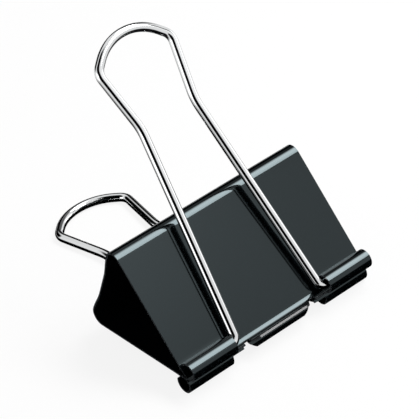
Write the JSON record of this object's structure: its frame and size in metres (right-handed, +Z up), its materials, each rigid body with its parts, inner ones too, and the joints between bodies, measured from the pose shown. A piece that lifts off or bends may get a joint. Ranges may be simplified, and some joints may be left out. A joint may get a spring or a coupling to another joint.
{
  "type": "binder clip",
  "caption": "Wedge-shaped spring clip of folded black sheet steel with a swinging wire loop handle on each side.",
  "frame": {"origin": "middle of the bottom of the box around the clip, which lies on its rear handle and rear tubes", "axes": "+X along the mouth and the spine, +Y from the mouth towards the spine and the handles' loops, +Z up"},
  "size_m": [0.051, 0.073, 0.0614],
  "materials": {
    "lacquered_body": "glossy black lacquer on spring steel sheet",
    "plated_wire": "bright nickel plated steel wire"
  },
  "bodies": {
    "rear_jaw": {"rear_jaw": "lacquered_body"},
    "front_jaw": {"front_jaw": "lacquered_body"},
    "front_handle": {"front_handle": "plated_wire"},
    "rear_handle": {"rear_handle": "plated_wire"}
  },
  "joints": [
    {"name": "jaw_flex", "type": "hinge", "parent": "rear_jaw", "child": "front_jaw", "pos_m": [0, -0.0079, 0.01593], "axis": [-1, 0, 0], "range_deg": [0, 50], "stiffness_Nm_per_rad": 0.8, "springref_deg": -1.15},
    {"name": "front_handle_swing", "type": "hinge", "parent": "front_jaw", "child": "front_handle", "pos_m": [0, -0.03431, 0.00633], "axis": [1, 0, 0], "range_deg": [0, 150]},
    {"name": "rear_handle_swing", "type": "hinge", "parent": "rear_jaw", "child": "rear_handle", "pos_m": [0, -0.03239, 0.00215], "axis": [-1, 0, 0], "range_deg": [0, 150]}
  ]
}
